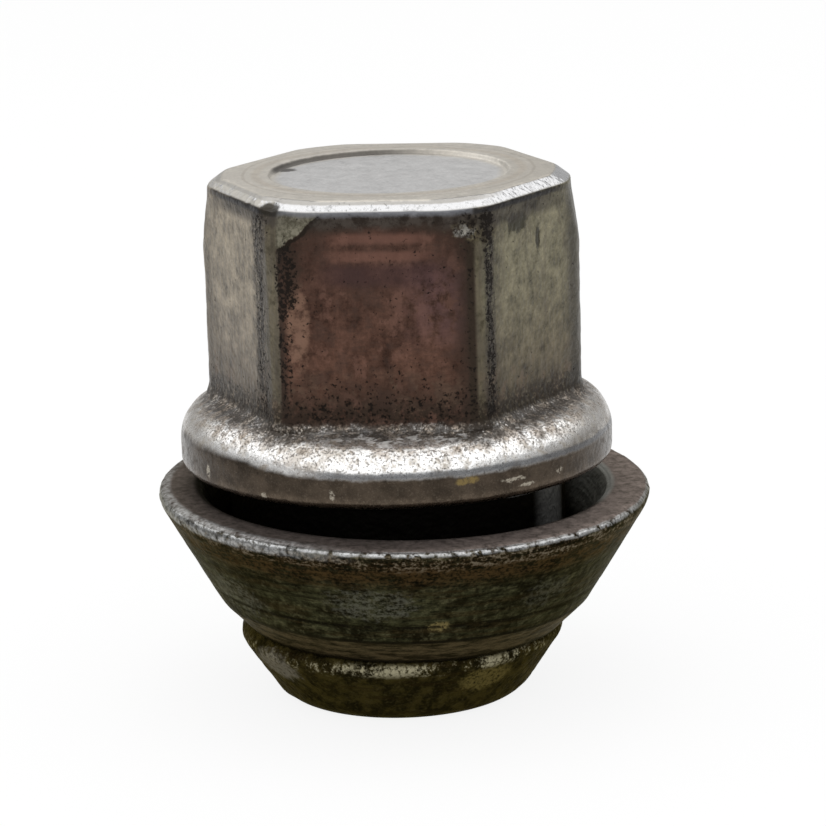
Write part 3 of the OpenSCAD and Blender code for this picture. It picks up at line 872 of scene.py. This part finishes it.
# The top is paler, with a greyer dish, a dark band along the dish's far wall and a painted highlight on
# its right wall
top = height.rise(34.55, 34.62) * (1 - outside)
top_colour = (radius + 0.5 * (cloud - 0.5)).rise(7.0, 7.7)
top_colour = top_colour.coat((0.475, 0.47, 0.465), (0.475, 0.445, 0.395))
top_colour = (across.rise(4, 11) * radius.rise(7.5, 8.2) * 0.4).coat(top_colour, (0.36, 0.33, 0.28))
brown_ring = (radius + 0.4 * (cloud - 0.5)).hump(8.7, 0.45)
top_colour = (brown_ring * 0.4).coat(top_colour, (0.38, 0.325, 0.26))
thin_ring = (radius + 0.3 * (cloud - 0.5)).hump(9.5, 0.15)
top_colour = (thin_ring * 0.4).coat(top_colour, (0.31, 0.27, 0.22))
crescent = (radius + 0.12 * (patchy - 0.5)).hump(7.7, 0.3) * (depth_y - 0.22 * across).rise(1.8, 3.4)
crescent = crescent * (1 - 0.8 * across.rise(-2, 5))
crescent = crescent.most(place.spot((-6.95, 2.2, 34.6), (0.8, 0.8, 0.6), 0.8))
top_colour = (crescent * 0.95).coat(top_colour, (0.075, 0.069, 0.062))
# A pale painted highlight lies on the dish's right wall
right_wall_highlight = radius.hump(7.75, 0.3) * across.rise(3, 6.5)
top_colour = (right_wall_highlight * 0.3).coat(top_colour, (0.74, 0.71, 0.65))
top_colour = top_colour.toned(1 + 0.5 * (patchy - 0.5) + 0.5 * (fine - 0.5))
top_pits = place.noise(2.6, 5, 0.72).rise(0.69, 0.72)
top_colour = (top_pits * 0.5).coat(top_colour, (0.18, 0.16, 0.14))
colour = top.coat(colour, top_colour)

# Pits and specks are dirt, the walls' foot is painted shade; all of them make the surface rougher
dirt_and_shade = pits.most(specks * flange * 0.8).most(wall_foot_shade * flange)
uneven = 0.16 * (patchy - 0.5) + 0.12 * (fine - 0.5)
roughness = 0.44 + uneven + 0.25 * dirt_and_shade - 0.22 * bare * (1 - upper_edge) - 0.2 * flange * shine
dimples = place.noise(1.5, 1.5, 0.5)
crumple = place.noise(3.0, 1.5, 0.5)
bump = (1 - 0.6 * top.most(flange)) * (0.2 * dimples + 0.15 * crumple) - 0.3 * pits - 0.12 * gully
bump = bump + flange * (1 - skirt) * (0.07 * creased - 0.05 * specks)
finish_material(shader, colour, roughness, 0.95 - 0.1 * dirt_and_shade, bump, depth=0.26)
dress(cap, worn_sheet, "nut", "cap")

# Studio: a pale floor that runs out of view, one large soft light overhead and even light all round.
# The camera stands where the photograph was taken from, turned slightly, with a long lens.
floor_size = 4
floor_white = 0.86
floor = add_piece("floor", bpy.ops.mesh.primitive_plane_add, size=floor_size)
floor_paint, shader, place = begin_material("pale_floor")
shader.inputs["Base Color"].default_value = (floor_white, floor_white, floor_white, 1)
shader.inputs["Roughness"].default_value = 0.9
tree = floor_paint.node_tree
rays = tree.nodes.new("ShaderNodeLightPath")
seen = Shade(rays.outputs["Is Camera Ray"]) * floor_white + Shade(rays.outputs["Is Glossy Ray"]) * 0.4
white = seen.make("ShaderNodeEmission", {}, {"Color": (1, 1, 1), "Strength": 1.0})
mixed = seen.make("ShaderNodeMixShader", {}, {0: seen, 1: Shade(shader.outputs[0]), 2: white})
tree.links.new(mixed.socket, tree.nodes["Material Output"].inputs["Surface"])
floor.data.materials.append(floor_paint)

world = bpy.data.worlds.new("even_light")
bpy.context.scene.world = world
world.use_nodes = True
tree = world.node_tree
rays = tree.nodes.new("ShaderNodeLightPath")
even_light = 0.25
shown = Shade(rays.outputs["Is Camera Ray"]) * (1 - even_light) + Shade(rays.outputs["Is Glossy Ray"]) * 0.25
tree.nodes["Background"].inputs["Color"].default_value = (1, 1, 1, 1)
tree.links.new((even_light + shown).socket, tree.nodes["Background"].inputs["Strength"])

softbox = bpy.data.lights.new("softbox", "AREA")
softbox.shape = "RECTANGLE"
softbox.size = 1.6
softbox.size_y = 2.57
softbox.energy = 16.2
softbox_stand = bpy.data.objects.new("softbox", softbox)
softbox_stand.location = (-0.05, -0.715, 0.42)
bpy.context.scene.collection.objects.link(softbox_stand)

photo_px = 826
camera_distance = 242
camera_elevation = math.radians(14.5)
camera_azimuth = math.radians(5.5)
camera_roll = math.radians(-1.8)
target_z = 17.0
focal_px = 3654
target_px = (396.7, 437.3)
camera = bpy.data.cameras.new("camera")
camera.sensor_width = 36
camera.lens = camera.sensor_width * focal_px / photo_px
camera.shift_x = (photo_px / 2 - target_px[0]) / photo_px
camera.shift_y = (target_px[1] - photo_px / 2) / photo_px
camera.clip_start = 0.01
stand = bpy.data.objects.new("camera", camera)
back = Vector((math.sin(camera_azimuth) * math.cos(camera_elevation),
               -math.cos(camera_azimuth) * math.cos(camera_elevation), math.sin(camera_elevation)))
stand.location = Vector((0, 0, target_z * MM)) + back * camera_distance * MM
stand.rotation_euler = back.to_track_quat("Z", "Y").to_euler()
stand.rotation_euler.rotate_axis("Z", camera_roll)
bpy.context.scene.collection.objects.link(stand)
bpy.context.scene.camera = stand
bpy.context.scene.view_settings.view_transform = "Standard"
